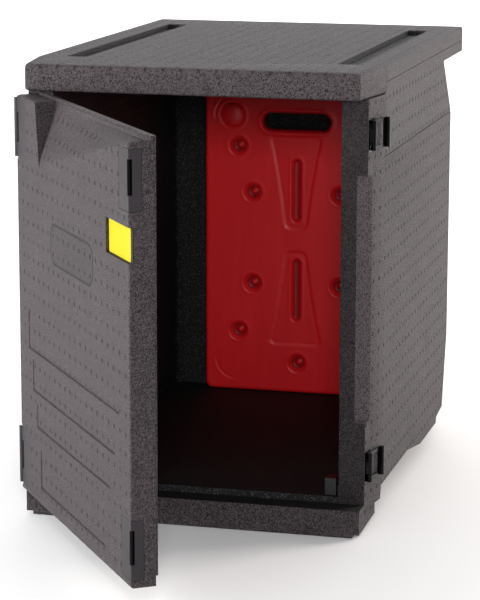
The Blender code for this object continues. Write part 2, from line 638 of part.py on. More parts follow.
def make_bail(place, z, pivot):
    """The bail, drawn latched: its bar lies in the strike's notch, its arms pass outside the door."""
    axis = axis_empty(f"bail_axis_{place}", (pivot[0], pivot[1], z), LATCH_ANGLES[place])
    outer = pivot[0] + LATCH_RADIUS
    inner = outer - BAIL_ARM
    bar = (DOOR_RIGHT - SLOT_SIZE / 2, DOOR_FRONT + SLOT_SIZE / 2)
    tip = bar[1] - BAIL_BAR_RADIUS
    throat = DOOR_FRONT + SLOT_SIZE - CLEARANCE
    plan = [
        (inner, pivot[1]), (outer, pivot[1]), (outer, throat - 0.001), (outer - 0.002, tip),
        (bar[0], tip), (bar[0], throat), (inner, throat),
    ]
    bail = prism(f"latch_bail_{place}", plan, 2, z - LATCH_HALF, z + LATCH_HALF, "black_plastic", axis)
    opening = LATCH_HALF - BAIL_RAIL
    window = box(f"cut_bail_window_{place}", (pivot[0] - 0.02, throat + 0.004, z - opening),
                 (pivot[0] + 0.02, pivot[1] + 0.02, z + opening), None, axis)
    cut(bail, window)
    ends = (z - LATCH_HALF, z + LATCH_HALF)
    join(bail, rod(f"add_bail_bar_{place}", bar, BAIL_BAR_RADIUS, *ends, 16, None, axis))
    for sign, name in ((-1, "low"), (1, "high")):
        ends = sorted((z + sign * (LUG_HALF + 0.0004), z + sign * LATCH_HALF))
        join(bail, rod(f"add_bail_eye_{name}_{place}", pivot, LATCH_RADIUS, *ends, 20, None, axis))
    bore = LATCH_PIN_RADIUS + RUNNING
    cut(bail, rod(f"cut_bail_hole_{place}", pivot, bore, z - 0.04, z + 0.04, 16, None, axis))


def plate_place(across, up):
    """World X and Z of a point on the thermal plate, from its middle and its foot."""
    return PLATE_OFFSET + across, FLOOR_TOP + CLEARANCE + up


def plate_columns(name, radius, low, high):
    """Round posts where the plate's two faces are pinched together."""
    places = [(sign * across, up) for across, up in DIMPLES for sign in (-1, 1)]
    places.append((0, LOW_DIMPLE))
    for index, (across, up) in enumerate(places):
        yield prism(f"{name}_{index}", circle(plate_place(across, up), radius, 16), 1, low, high)


def waist_outline(waist, grow):
    wide_z, wide, narrow_z, narrow = waist
    sign = 1 if wide_z > narrow_z else -1
    corners = [
        (wide / 2 + grow, wide_z + sign * grow), (-wide / 2 - grow, wide_z + sign * grow),
        (-narrow / 2 - grow, narrow_z - sign * grow), (narrow / 2 + grow, narrow_z - sign * grow),
    ]
    return [plate_place(*corner) for corner in corners]


def gel_space(name, grow, front, back, material=None):
    """The space inside the plate: round the handle slot, the posts and the two waists."""
    width, height = PLATE_SIZE[0], PLATE_SIZE[2]
    margin = 0.010 - grow
    side, high = width / 2 - margin, HANDLE[2] - HANDLE[1] / 2 - 0.014 + grow
    tower = -HANDLE[0] / 2 - 0.012 + grow
    top = height - margin
    corners = [(-side, margin), (side, margin), (side, high), (tower, high), (tower, top), (-side, top)]
    outline = [plate_place(*corner) for corner in corners]
    space = prism(name, outline, 1, front - grow, back + grow, material)
    through = (front - 0.01, back + 0.01)
    cut(space, *plate_columns(f"cut_{name}_post", COLUMN_RADIUS - grow, *through))
    for index, waist in enumerate(WAISTS):
        cut(space, prism(f"cut_{name}_waist_{index}", waist_outline(waist, 0.006 - grow), 1, *through))
    return space


def make_plate():
    """The thermal plate: a hollow shell standing at the back, its filling and its filler cap."""
    width, thick, height = PLATE_SIZE
    back = CAVITY_BACK - PLATE_BACK_GAP
    front = back - thick
    centre = plate_place(0, height / 2)
    rings = []
    edge = ((0, 0.003), (0.001, 0.001), (0.003, 0))
    steps = [(front + along, inset) for along, inset in edge]
    steps += [(back - along, inset) for along, inset in reversed(edge)]
    for y, inset in steps:
        outline = rounded(centre, width - 2 * inset, height - 2 * inset, PLATE_CORNER - inset, 5)
        rings.append([(x, y, z) for x, z in outline])
    shell = loft("thermal_plate", rings, "red_plastic")
    slot = rounded(plate_place(0, HANDLE[2]), HANDLE[0], HANDLE[1], HANDLE[1] * 0.45, 5)
    cut(shell, prism("cut_handle", slot, 1, front - 0.02, back + 0.02))
    cut(shell, *plate_columns("cut_dimple", DIMPLE_RADIUS, front - 0.01, front + DIMPLE_DEPTH))
    for index, waist in enumerate(WAISTS):
        middle = (waist[0] + waist[2]) / 2
        cut(shell, prism(f"cut_waist_{index}", waist_outline(waist, 0), 1, front - 0.01, front + WAIST_DEPTH))
        groove = rounded(plate_place(0, middle), WAIST_SLOT[0], WAIST_SLOT[1], WAIST_SLOT[0] * 0.45, 4)
        deep = front + WAIST_DEPTH + WAIST_SLOT[2]
        cut(shell, prism(f"cut_waist_slot_{index}", groove, 1, front - 0.01, deep))
    gel_front, gel_back = front + PLATE_SKIN + 0.006, back - PLATE_SKIN
    cut(shell, gel_space("cut_hollow", CLEARANCE, gel_front, gel_back))
    gel_space("plate_filling", 0.0, gel_front, gel_back, "gel")
    cap = plate_place(*CAP_PLACE)
    seat = front + CAP_THICKNESS / 2
    cut(shell, prism("cut_cap_seat", circle(cap, CAP_RADIUS + CLEARANCE, 28), 1, front - 0.01, seat))
    cut(shell, prism("cut_neck", circle(cap, NECK_RADIUS + NECK_GAP, 20), 1, front - 0.01, gel_front))
    back = seat - CLEARANCE
    front = back - CAP_THICKNESS
    disc = prism("filler_cap", circle(cap, CAP_RADIUS, 28), 1, front, back, "red_plastic")
    stem = prism("add_cap_stem", circle(cap, NECK_RADIUS, 20), 1, back - 0.001, gel_front - CLEARANCE)
    knob = prism("add_cap_knob", rounded(cap, *CAP_KNOB, 2), 1, front - CAP_KNOB_RISE, back - 0.002)
    join(disc, stem, knob)


def make_bumper():
    """A small rubber stop in the opening's lower corner, on the latch side, with a thin strip
    behind its front that holds it off the wall."""
    width, length, height = BUMPER
    x, y = CAVITY_SIDE - CLEARANCE, FRAME + BUMPER_SET_BACK
    low = FLOOR_TOP + CLEARANCE
    outer = x - BUMPER_SHIM
    bumper = box("corner_bumper", (outer - width, y, low), (outer, y + length, low + height), "rubber")
    shim_low = (outer - 0.002, y + length / 3, low)
    join(bumper, box("add_bumper_shim", shim_low, (x, y + length, low + height / 2)))


def build():
    body = make_body()
    make_cover()
    door_axis = axis_empty("door_axis", HINGE_AXIS, -REST_ANGLE)
    door = make_door(door_axis)
    make_card(door, door_axis)
    make_strikes(door, door_axis)
    make_hinges(door, door_axis)
    cut(door, scoop_cutter(door_axis))
    make_latches(body)
    make_plate()
    make_bumper()
    for item in bpy.data.objects:
        if item.type == "MESH" and not item.hide_render:
            item.data.shade_smooth()
            item.data.set_sharp_from_angle(angle=math.radians(35))


clear_scene()
MATERIALS = make_materials()
build()
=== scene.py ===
"""Looks of the insulated food carrier: bead-foam skins with steam-vent marks, a moulded red
thermal plate, glossy latches and the set they are shown on."""

import json
import math

import bmesh
import bpy
import numpy as np
from mathutils import Matrix, Vector


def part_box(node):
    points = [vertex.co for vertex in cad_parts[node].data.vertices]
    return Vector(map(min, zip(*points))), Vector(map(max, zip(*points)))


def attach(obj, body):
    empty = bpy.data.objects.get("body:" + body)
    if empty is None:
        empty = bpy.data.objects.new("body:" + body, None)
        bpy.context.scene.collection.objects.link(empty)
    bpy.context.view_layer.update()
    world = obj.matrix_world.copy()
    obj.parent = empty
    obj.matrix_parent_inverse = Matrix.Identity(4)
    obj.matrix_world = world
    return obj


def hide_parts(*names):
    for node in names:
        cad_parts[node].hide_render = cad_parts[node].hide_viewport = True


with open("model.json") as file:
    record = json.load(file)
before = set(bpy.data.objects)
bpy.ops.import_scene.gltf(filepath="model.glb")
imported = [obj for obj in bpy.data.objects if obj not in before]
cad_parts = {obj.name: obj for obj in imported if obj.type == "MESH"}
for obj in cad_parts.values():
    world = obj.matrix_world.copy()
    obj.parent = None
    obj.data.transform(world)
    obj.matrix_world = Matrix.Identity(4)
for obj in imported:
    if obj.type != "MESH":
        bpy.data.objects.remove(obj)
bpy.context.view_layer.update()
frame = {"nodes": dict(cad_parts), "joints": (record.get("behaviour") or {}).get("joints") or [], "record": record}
NODES = frame["nodes"]
JOINTS = {joint["name"]: joint for joint in frame["joints"]}
HINGE = Vector(JOINTS["door_swing"]["pos_m"])
SLIDE = Vector(JOINTS["card_slide"]["axis"])
DOOR_TURN = math.atan2(SLIDE.y, SLIDE.x)
SHARP_ANGLE = math.radians(34)


# ---------------------------------------------------------------- shader maths


class Wire:
    """A socket that takes part in Python expressions; each operator adds one Math node."""

    def __init__(self, maker, socket):
        self.maker = maker
        self.socket = socket

    def _math(self, operation, *values):
        return self.maker.node("Math", {"operation": operation}, *values)

    def __add__(self, other):
        return self._math("ADD", self, other)

    def __sub__(self, other):
        return self._math("SUBTRACT", self, other)

    def __rsub__(self, other):
        return self._math("SUBTRACT", other, self)

    def __mul__(self, other):
        return self._math("MULTIPLY", self, other)

    def __lt__(self, other):
        return self._math("LESS_THAN", self, other)

    def __gt__(self, other):
        return self._math("GREATER_THAN", self, other)

    def __mod__(self, other):
        return self._math("FLOORED_MODULO", self, other)

    def __pow__(self, other):
        return self._math("POWER", self, other)

    def __abs__(self):
        return self._math("ABSOLUTE", self)

    __radd__ = __add__
    __rmul__ = __mul__

    def most(self, other):
        return self._math("MAXIMUM", self, other)

    def clamp(self):
        return self.maker.node("Clamp", {}, self)

    def step(self, low, high):
        """0 below low, 1 above high, smooth between."""
        settings = {"interpolation_type": "SMOOTHSTEP"}
        return self.maker.node("MapRange", settings, self, low, high)


class Finish:
    """One material: its Principled shader and the nodes that feed it."""

    def __init__(self, name, **constants):
        self.material = bpy.data.materials.new(name)
        self.material.use_nodes = True
        self.tree = self.material.node_tree
        self.shader = self.tree.nodes["Principled BSDF"]
        for socket, value in constants.items():
            self.shader.inputs[socket.replace("_", " ")].default_value = value

    def node(self, kind, settings, *values, out=0, **named):
        """A node of a type, its settings first, then values or wires for its sockets by order or name."""
        made = self.tree.nodes.new("ShaderNode" + kind)
        for key, value in settings.items():
            setattr(made, key, value)
        pairs = list(zip(made.inputs, values))
        pairs += [(made.inputs[key.replace("_", " ")], value) for key, value in named.items()]
        for socket, value in pairs:
            if isinstance(value, Wire):
                self.tree.links.new(value.socket, socket)
            else:
                socket.default_value = value
        return Wire(self, made.outputs[out])

    def place(self, turn=0.0, centre=(0, 0, 0)):
        """Object coordinates about a centre, turned back so that a turned piece's own width is X."""
        raw = self.node("TexCoord", {}, out=3)
        moved = self.node("VectorMath", {"operation": "SUBTRACT"}, raw, tuple(centre))
        settings = {"rotation_type": "Z_AXIS"}
        return self.node("VectorRotate", settings, moved, Angle=-turn)

    def split(self, vector):
        """The three coordinates of a vector, each a wire."""
        made = self.tree.nodes.new("ShaderNodeSeparateXYZ")
        self.tree.links.new(vector.socket, made.inputs[0])
        return [Wire(self, socket) for socket in made.outputs]

    def noise(self, vector, scale, detail=2.0, roughness=0.5):
        return self.node("TexNoise", {}, Vector=vector, Scale=scale, Detail=detail, Roughness=roughness)

    def mix(self, factor, first, second):
        """A colour between first, at factor 0, and second, at factor 1."""
        made = self.tree.nodes.new("ShaderNodeMix")
        made.data_type = "RGBA"
        for index, value in ((0, factor), (6, first), (7, second)):
            if isinstance(value, Wire):
                self.tree.links.new(value.socket, made.inputs[index])
            else:
                made.inputs[index].default_value = value
        return Wire(self, made.outputs[2])

    def feed(self, **sockets):
        """Links wires to the shader's own sockets, named with _ for a space."""
        for name, value in sockets.items():
            self.tree.links.new(value.socket, self.shader.inputs[name.replace("_", " ")])

    def bump(self, height, distance, strength=1.0):
        self.feed(Normal=self.node("Bump", {}, Height=height, Distance=distance, Strength=strength))


def facing(finish, turn):
    """How much a surface faces along X, Y and Z of the turned piece, from 0 to 1 each."""
    normal = finish.node("TexCoord", {}, out=1)
    settings = {"rotation_type": "Z_AXIS"}
    return [abs(part) for part in finish.split(finish.node("VectorRotate", settings, normal, Angle=-turn))]


# The plaque on the door: its centre along the door and up it, width, height and corner radius.
PLAQUE = (0.2735, 0.4515, 0.200, 0.057, 0.020)
VENT_PITCH = 0.0253
VENT_ROW = 0.0266
VENT_RADIUS = 0.0036
VENT_SLIT_GAP = 0.0018
EDGE_DIMPLE_PITCH = 0.027
CHANNEL_OUTER = 0.2275
FRAME_PLANE = -0.3488

FOAM = (0.0365, 0.0285, 0.0315)
FOAM_DARKEST, FOAM_PALEST = 0.04, 2.35
# How many features of each noise fit in a metre.
FINE_BEADS, COARSE_BEADS, CLOUDS, VENT_PATCHES = 640.0, 420.0, 14.0, 22.0
# Painted shade for deep recesses, nearly black, and the pale colour of the painted specks of highlight on it.
DEEP_SHADE_DARK = (0.001, 0.0008, 0.0008, 1)
DEEP_SHADE_SPECKS = (0.130, 0.128, 0.140, 1)
# The box round the chamber, inside which the foam gets its painted shade.
CHAMBER_SHADE_BOX = ((-0.2215, -0.3815, 0.0412), (0.2215, 0.32, 0.6405))


def bead_foam(name, extra, vented, shift, depth=0.92, turn=0.0, centre=(0, 0, 0)):
    """Bead foam: strong grain of fused beads, and steam vents in rows, each a group of short slits.

    Vent mask: on the faces along the axis in vented, the two coordinates that lie in the face, moved
    by shift, are cut into cells of one pitch by one row; inside a cell the vent is a disc, crossed
    by upright slits, and depth is how dark it is. extra takes the three coordinates, the three
    facings and the shade, and returns the shade, how much of the surface gets the painted shade of a
    deep recess, nearly black with painted specks of highlight, and a height to add."""
    finish = Finish(name)
    finish.shader.inputs["Specular IOR Level"].default_value = 0.26
    at = finish.place(turn, centre)
    places = finish.split(at)
    x, y, z = places
    facings = facing(finish, turn)
    on_x, on_y, on_z = facings
    side, front, top = on_x > 0.8, on_y > 0.7, on_z > 0.8
    across = x * (1 - side) + y * side + shift[0]
    up = z * (1 - top) + y * top + shift[1]
    shown = {"X": side, "Y": front, "Z": top}[vented]
    in_cell = (across % VENT_PITCH) - VENT_PITCH / 2
    in_row = (up % VENT_ROW) - VENT_ROW / 2
    reach = (in_cell * in_cell + in_row * in_row) ** 0.5
    disc = 1 - reach.step(VENT_RADIUS * 0.85, VENT_RADIUS * 1.1)
    slit = abs((abs(in_cell) % VENT_SLIT_GAP) - VENT_SLIT_GAP / 2)
    slits = slit.step(VENT_SLIT_GAP * 0.12, VENT_SLIT_GAP * 0.34)
    patchy = finish.noise(at, VENT_PATCHES, 3.0, 0.6).step(0.34, 0.62)
    mark = disc * (0.50 + 0.50 * slits) * (0.45 + 0.55 * patchy) * shown
    fine = finish.noise(at, FINE_BEADS, 2.0, 0.5).step(0.36, 0.64)
    coarse = finish.noise(at, COARSE_BEADS, 2.0, 0.5).step(0.34, 0.66)
    cloud = finish.noise(at, CLOUDS, 4.0, 0.6)
    tone = -0.24 + 0.68 * fine + 0.56 * coarse + 0.22 * cloud
    shade = (tone * (1 - depth * mark)).clamp()
    shade, painted_shade_mask, relief = extra(places, facings, shade)
    darkest, palest = [tuple(c * times for c in FOAM) + (1,) for times in (FOAM_DARKEST, FOAM_PALEST)]
    base = finish.mix(shade, darkest, palest)
    # Painted highlight: bead specks painted pale where the painted shade lies, front faces painted a little
    # lighter and upward faces darker.
    painted_sparkle = ((fine * coarse).step(0.45, 0.95) + 0.10 * front) * (1 - 0.85 * top)
    base = finish.mix(painted_shade_mask, base, finish.mix(painted_sparkle, DEEP_SHADE_DARK, DEEP_SHADE_SPECKS))
    rough = 0.62 + 0.10 * coarse - 0.10 * fine + 0.2 * mark
    rough = rough * (1 - painted_shade_mask) + (0.36 + 0.20 * coarse + 0.2 * top) * painted_shade_mask
    height = (fine * 0.6 + coarse * 0.7 - mark * 2.6 * depth) * (1.0 + 0.8 * painted_shade_mask) + relief
    finish.feed(Base_Color=base, Roughness=rough.clamp())
    finish.bump(height, 0.0007, 1.0)
    return finish.material


def chamber_painted_shade(places, facings, shade):
    """Painted shade of the deep chamber: inside a box and on the sill's top the foam is painted nearly
    black. The frame's front gets a painted shade too, and the bevel beside it a painted highlight."""
    x, y, z = places
    on_x, on_y, on_z = facings
    (x0, y0, z0), (x1, y1, z1) = CHAMBER_SHADE_BOX
    # Painted shade inside the chamber and on the sill's top in front of it.
    inside = (x > x0) * (x < x1) * (y > y0) * (y < y1) * (z > z0) * (z < z1)
    sill = (z > z0) * (z < z0 + 0.002) * (on_z > 0.8)
    # Painted shade on the frame's front face.
    frame_front_shade = (abs(y - FRAME_PLANE) < 0.0008) * (on_y > 0.9)
    # Painted highlight on the bevel beside the opening, picked out by the way it faces.
    bevel = on_x.step(0.4, 0.6) * on_y.step(0.4, 0.6) * (y < FRAME_PLANE + 0.02) * (z > 0.1)
    shade = shade * (1 - 0.45 * frame_front_shade) * (1 + 0.7 * bevel)
    return shade.clamp(), (inside + sill).clamp(), 0.0


def plaque_groove(places, facings, shade):
    """A painted shade in a soft line round the blank plaque on the door's front, with a bump that sinks
    it: the signed distance to a rectangle with round corners, turned into a narrow band. Inside the
    line the plaque's face gets a lighter painted shade and a shallow bump."""
    x, y, z = places
    across, up, width, height, radius = PLAQUE
    over = (abs(x - across) - (width / 2 - radius)).most(0.0)
    above = (abs(z - up) - (height / 2 - radius)).most(0.0)
    reach = (over * over + above * above) ** 0.5
    band = 1 - abs(reach - radius).step(0.0006, 0.0034)
    # Painted shade: the face inside the line is painted a little darker, as for a shallow recess.
    shaded_recess = (1 - (reach - radius + 0.004).step(0, 0.002)) * (y < 0.001)
    # Painted shade: the band round the plaque is painted dark, as for a groove.
    line = band * (facings[1] > 0.9) * (y < 0.001)
    return (shade * (1 - 0.70 * line) * (1 - 0.16 * shaded_recess)).clamp(), 0.0, -2.6 * line - 0.8 * shaded_recess


def cover_edges(places, facings, shade):
    """The cover's front round-over gets a painted highlight, with a row of small ejector dimples along
    it painted as dark spots; its front face is painted lighter and its two long channels get the
    painted shade of a deep recess."""
    x, y, z = places
    on_z = facings[2]
    (_, y0, _), (_, _, top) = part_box("top_cover")
    # Painted highlight along the front round-over.
    edge_highlight = on_z.step(0.30, 0.60) * (1 - on_z.step(0.90, 0.99)) * (y < y0 + 0.02) * (z > top - 0.012)
    # Painted shade in the small dimples: dark spots along the painted highlight.
    dot = abs((x % EDGE_DIMPLE_PITCH) - EDGE_DIMPLE_PITCH / 2)
    dimple_shade = (1 - dot.step(0.0016, 0.0034)) * edge_highlight
    # Painted shade in the two long channels: they get the dark painted shade of a deep recess.
    low = (z < top - 0.0018) * (z > top - 0.0085) * (y > y0 + 0.1) * (abs(x) < CHANNEL_OUTER)
    # Painted light: the cover's front face is painted lighter.
    face = (facings[1] > 0.9) * (y < y0 + 0.003)
    shade = shade * (1 + 1.5 * edge_highlight + 0.45 * face) * (1 - 0.75 * dimple_shade)
    return shade.clamp(), low, 0.0


def moulded(name, color, roughness, grain_scale, grain_depth, variation, shine):
    """Injection-moulded plastic: a spark-eroded grain, slow colour variation and worn patches."""
    finish = Finish(name, Roughness=roughness)
    finish.shader.inputs["Specular IOR Level"].default_value = shine
    at = finish.place()
    fine = finish.noise(at, grain_scale, 3.0, 0.6)
    slow = finish.noise(at, 18.0, 3.0, 0.55)
    rub = finish.noise(at, 60.0, 4.0, 0.65)
    light = tuple(min(1.0, c * (1 + variation)) for c in color) + (1,)
    dark = tuple(c * (1 - variation) for c in color) + (1,)
    finish.feed(Base_Color=finish.mix(slow, dark, light))
    finish.feed(Roughness=(roughness - 0.08 + 0.16 * rub + 0.05 * fine).clamp())
    finish.bump(fine + rub * 0.4, grain_depth, 0.6)
    return finish.material


def drawn_steel(name):
    """Drawn wire: a long grain round the pin, darker in its scratches."""
    finish = Finish(name, Metallic=1.0)
    stretched = finish.node("Mapping", {}, finish.place(), Scale=(900, 900, 40))
    lines = finish.noise(stretched, 1.0, 3.0, 0.6)
    finish.feed(Base_Color=finish.mix(lines, (0.32, 0.32, 0.33, 1), (0.66, 0.66, 0.68, 1)))
    finish.feed(Roughness=0.22 + 0.25 * lines)
    finish.bump(lines, 0.00003, 0.5)
    return finish.material


def red_moulding():
    """Blow-moulded red polyethylene: a soft orange-peel, faint flow lines, specks, and a painted
    shade that grows with depth in the deeper recesses of the plate's front."""
    finish = Finish("red_plate", Roughness=0.3)
    finish.shader.inputs["Specular IOR Level"].default_value = 0.38
    at = finish.place()
    peel = finish.noise(at, 140.0, 2.0)
    flow = finish.noise(finish.node("Mapping", {}, at, Scale=(60, 60, 6)), 1.0, 3.0, 0.6)
    speck = finish.noise(at, 700.0, 2.0)
    deep = finish.mix(flow, (0.74, 0.0085, 0.0140, 1), (0.92, 0.0130, 0.0190, 1))
    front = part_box("thermal_plate")[0][1]
    _, y, _ = finish.split(at)
    # Painted shade: the plate's front is painted darker the deeper its recesses go.
    hollow_shade = y.step(front + 0.0035, front + 0.0095) * (y < front + 0.014)
    specked = finish.mix(speck.step(0.62, 0.75) * 0.4, deep, (0.18, 0.004, 0.006, 1))
    finish.feed(Base_Color=finish.mix(hollow_shade * 0.72, specked, (0.10, 0.004, 0.006, 1)))
    finish.feed(Roughness=(0.30 + 0.14 * flow + 0.08 * speck).clamp())
    finish.bump(peel * 0.8 + speck * 0.15, 0.00020, 0.5)
    return finish.material


def card_print():
    """A plain yellow card: paper fibre over a slow change of colour."""
    finish = Finish("yellow_card", Roughness=0.6)
    finish.shader.inputs["Specular IOR Level"].default_value = 0.12
    at = finish.place()
    fibre = finish.noise(at, 900.0, 4.0, 0.7)
    slow = finish.noise(at, 25.0, 3.0)
    finish.feed(Base_Color=finish.mix(slow, (0.42, 0.365, 0.0020, 1), (0.47, 0.405, 0.0030, 1)))
    finish.feed(Roughness=0.50 + 0.18 * fibre)
    finish.bump(fibre, 0.00004, 0.4)
    return finish.material


# ---------------------------------------------------------------- mesh helpers


def object_from(name, mesh, body, material):
    """A finished piece at the origin, riding on a body, with one material."""
    piece = bpy.data.objects.new(name, mesh)
    bpy.context.scene.collection.objects.link(piece)
    mesh.materials.clear()
    mesh.materials.append(material)
    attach(piece, body)
    return piece


BEVEL_ANGLE = math.radians(28)
FLAT_ANGLE = math.radians(0.6)
SAME_POINT = 2e-6


def softened(node, width, material, segments=3):
    """A copy of a solid, its triangles merged into flat faces and every hard edge rounded."""
    source = NODES[node]
    builder = bmesh.new()
    builder.from_mesh(source.data)
    bmesh.ops.remove_doubles(builder, verts=builder.verts, dist=SAME_POINT)
    bmesh.ops.dissolve_limit(builder, angle_limit=FLAT_ANGLE, verts=builder.verts, edges=builder.edges)
    mesh = bpy.data.meshes.new(node + "_skin")
    builder.to_mesh(mesh)
    builder.free()
    record = frame["record"]
    body = next(body for body, members in record["behaviour"]["bodies"].items() if node in members)
    piece = object_from(node + "_skin", mesh, body, material)
    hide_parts(node)
    bevel = piece.modifiers.new("round", "BEVEL")
    bevel.width = width
    bevel.segments = segments
    bevel.limit_method = "ANGLE"
    bevel.angle_limit = BEVEL_ANGLE
    bevel.use_clamp_overlap = True
    bevel.harden_normals = True
    bevel.miter_outer = "MITER_ARC"
    mesh.shade_smooth()
    mesh.set_sharp_from_angle(angle=SHARP_ANGLE)


def paint(node, material):
    """A better material on a CAD node whose shape stays."""
    mesh = NODES[node].data
    mesh.materials.clear()
    mesh.materials.append(material)


def facing_out(mesh):
    """Turns every face of a closed mesh outwards."""
    builder = bmesh.new()
    builder.from_mesh(mesh)
    bmesh.ops.recalc_face_normals(builder, faces=builder.faces)
    builder.to_mesh(mesh)
    builder.free()


def ease(value, low, high):
    """0 below low and 1 above high, with a smooth S between."""
    share = np.clip((value - low) / (high - low), 0, 1)
    return share * share * (3 - 2 * share)


def round_box(x, z, centre, width, height, radius):
    """Signed distance to a rectangle with round corners: outside it is the length of the part of
    (|x|, |z|) beyond the corner's centre, less the radius; inside, the nearer side's distance."""
    across = np.abs(x - centre[0]) - (width / 2 - radius)
    up = np.abs(z - centre[1]) - (height / 2 - radius)
    outside = np.hypot(np.maximum(across, 0), np.maximum(up, 0))
    return outside + np.minimum(np.maximum(across, up), 0) - radius


def taper_box(x, z, wide_z, wide, narrow_z, narrow, radius):
    """Signed distance to a tapered pad: half its width runs evenly from one end to the other, with
    a slight waist, and a smooth maximum of the two distances rounds the corners."""
    share = np.clip((z - narrow_z) / (wide_z - narrow_z), 0, 1)
    half = narrow / 2 + (wide - narrow) / 2 * (share * 0.72 + share**3 * 0.28)
    across = (np.abs(x) - half) * 0.97 + radius
    low, high = min(wide_z, narrow_z), max(wide_z, narrow_z)
    up = np.abs(z - (low + high) / 2) - (high - low) / 2 + radius
    outside = np.hypot(np.maximum(across, 0), np.maximum(up, 0))
    return outside + np.minimum(np.maximum(across, up), 0) - radius


def snapped(x, z, distance, step):
    """Moves the grid points within half a step of an outline onto it, along the distance's slope."""
    slope_z, slope_x = np.gradient(distance, z[:, 0], x[0])
    size = np.maximum(np.hypot(slope_x, slope_z), 1e-9)
    near = np.abs(distance) < step * 0.55
    move = np.where(near, distance, 0) / size
    return x - move * slope_x / size, z - move * slope_z / size


def slab(name, x, z, front, back, kept, place=None):
    """A closed body from one grid of places with two heights, front and back in Y. Only the kept
    cells have faces, and each of their free edges gets a wall between front and back. place, if
    given, carries the points to their own position."""
    rows, columns = x.shape
    index = np.arange(rows * columns).reshape(rows, columns)
    cells = np.stack([index[:-1, :-1], index[:-1, 1:], index[1:, 1:], index[1:, :-1]], -1)[kept]
    edges = np.concatenate([cells[:, [i, (i + 1) % 4]] for i in range(4)])
    key = np.sort(edges, axis=1)
    _, inverse, count = np.unique(key, axis=0, return_inverse=True, return_counts=True)
    free = edges[count[inverse.reshape(-1)] == 1]
    total = rows * columns
    walls = np.stack([free[:, 1], free[:, 0], free[:, 0] + total, free[:, 1] + total], -1)
    faces = np.concatenate([cells, cells[:, ::-1] + total, walls])
    points = np.concatenate([
        np.stack([x, front, z], -1).reshape(-1, 3), np.stack([x, back, z], -1).reshape(-1, 3)])
    if place is not None:
        points = place(points)
    used, faces = np.unique(faces, return_inverse=True)
    return mesh_from(name, points[used], faces.reshape(-1, 4))


def mesh_from(name, points, faces):
    """A mesh from whole arrays of points and four-sided faces."""
    mesh = bpy.data.meshes.new(name)
    mesh.vertices.add(len(points))
    mesh.vertices.foreach_set("co", np.ascontiguousarray(points, np.float32).ravel())
    mesh.loops.add(faces.size)
    mesh.loops.foreach_set("vertex_index", np.ascontiguousarray(faces, np.int32).ravel())
    mesh.polygons.add(len(faces))
    mesh.polygons.foreach_set("loop_start", np.arange(0, faces.size, 4, dtype=np.int32))
    mesh.update(calc_edges=True)
    mesh.validate()
    mesh.shade_smooth()
    return mesh


def cell_middle(grid):
    """The mean of each cell's four corners."""
    return (grid[:-1, :-1] + grid[1:, :-1] + grid[:-1, 1:] + grid[1:, 1:]) / 4


# ---------------------------------------------------------------- the thermal plate

# Places on the plate's front, across from its middle and up from its foot.
DIMPLE_ROWS = ((0.1025, 0.4327), (0.077, 0.3527), (0.077, 0.1923), (0.102, 0.1067))
DIMPLES = [(side * across, up) for across, up in DIMPLE_ROWS for side in (-1, 1)] + [(0.0033, 0.0533)]
# Each pad: the height and width of its wide end, then of its narrow end.
PADS = ((0.4497, 0.089, 0.2917, 0.035), (0.0877, 0.090, 0.2497, 0.034))
PAD_SLOTS = (0.3582, 0.1832)
HANDLE = ((0.0003, 0.4767), 0.118, 0.0295)
HANDLE_ROUND = 0.0140
CAP = (-0.1134, 0.4860)
PLATE_STEP = 0.0021
PLATE_EDGE = 0.006
PLATE_ROUND = 0.013


def plate_relief(x, z):
    """Depth of the moulding behind the plate's front plane: dimples with a bump in their floor,
    shallow tapered pads ringed by a groove, a round-ended slot in each pad, a raised rim round the
    hand hole, the filler's seat and two quarter-circle grooves."""
    depth = np.zeros_like(x)
    for across, up in DIMPLES:
        reach = np.hypot(x - across, z - up)
        bump = np.hypot(x - across - 0.0022, z - up - 0.0012)
        depth += 0.0098 * (1 - ease(reach, 0.0065, 0.0180)) - 0.0056 * (1 - ease(bump, 0.0018, 0.0078))
        depth -= 0.0006 * np.exp(-(((reach - 0.0190) / 0.0018) ** 2))
    for pad, middle in zip(PADS, PAD_SLOTS):
        edge = taper_box(x, z, *pad, 0.009)
        depth += 0.0014 * (1 - ease(edge, -0.0030, 0.0006)) + 0.0016 * np.exp(-((edge / 0.0016) ** 2))
        slot = round_box(x, z, (0.0006, middle), 0.0185, 0.112, 0.0090)
        depth += 0.0070 * (1 - ease(slot, -0.0062, 0.0004))
        depth -= 0.0007 * np.exp(-(((slot - 0.002) / 0.0014) ** 2))
    hole = round_box(x, z, *HANDLE, HANDLE_ROUND)
    depth -= 0.0019 * np.exp(-(((hole - 0.0052) / 0.0032) ** 2))
    depth += 0.0050 * (1 - ease(hole, -0.0005, 0.0040))
    seat = np.hypot(x - CAP[0], z - CAP[1])
    depth += 0.0022 * (1 - ease(seat, 0.0205, 0.0230))
    depth -= 0.0008 * np.exp(-(((seat - 0.0250) / 0.0018) ** 2))
    for centre, radius, low, high in ((CAP, 0.0305, 120, 195), ((-0.1075, 0.0555), 0.0345, 178, 268)):
        reach = np.hypot(x - centre[0], z - centre[1])
        angle = np.degrees(np.arctan2(z - centre[1], x - centre[0])) % 360
        ends = ease(angle, low - 4, low + 6) * (1 - ease(angle, high - 6, high + 4))
        depth += (0.0012 * np.exp(-(((reach - radius) / 0.0015) ** 2)) -
                  0.0005 * np.exp(-(((reach - radius - 0.0032) / 0.0018) ** 2))) * ends
    return depth


